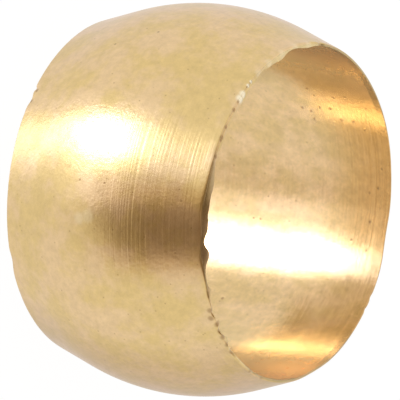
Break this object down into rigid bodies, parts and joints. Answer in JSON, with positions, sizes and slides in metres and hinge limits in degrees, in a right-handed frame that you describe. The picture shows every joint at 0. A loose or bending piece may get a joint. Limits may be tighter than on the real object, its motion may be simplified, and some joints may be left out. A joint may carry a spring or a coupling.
{
  "type": "compression olive",
  "caption": "Barrel-shaped brass sealing ring with a plain bore and tapered flanks, squeezed onto a tube by the nut of a compression pipe fitting.",
  "frame": {"origin": "centre of the lower end of the bore, on the surface the ring stands on", "axes": "+Z along the bore axis, from the lower end to the upper end; X and Y square to it, the ring being round"},
  "size_m": [0.0118, 0.0118, 0.0071],
  "materials": {
    "brass": "satin, as turned and tumbled"
  },
  "bodies": {
    "root": {"olive": "brass"}
  },
  "joints": []
}
